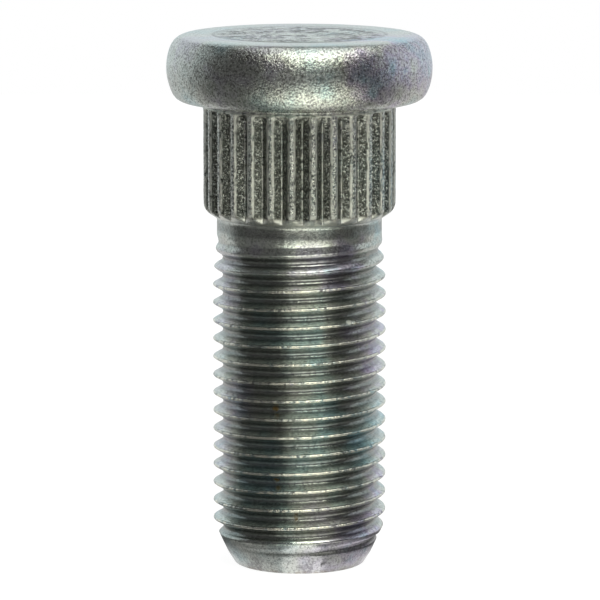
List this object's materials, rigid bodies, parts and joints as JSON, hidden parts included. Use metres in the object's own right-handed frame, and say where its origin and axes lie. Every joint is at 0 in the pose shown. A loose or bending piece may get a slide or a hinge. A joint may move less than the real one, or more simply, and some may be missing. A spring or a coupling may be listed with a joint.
{
  "type": "wheel stud",
  "caption": "Press-in wheel stud with a round barrel-sided head, a straight knurled shank, a short plain neck and a right-hand metric thread with a tapered flat point.",
  "frame": {"origin": "centre of the flat end face of the thread, on which the stud stands", "axes": "+Z along the stud's axis, from the flat end of the thread up to the head; X and Y are square to it and nothing on the stud depends on them except where the thread starts"},
  "size_m": [0.018, 0.018, 0.0365],
  "materials": {
    "zinc_plate": "bright zinc plating with a thin blue-green passivate, satin on the forged head and glossy on the rolled thread"
  },
  "bodies": {
    "root": {"wheel_stud": "zinc_plate"}
  },
  "joints": []
}
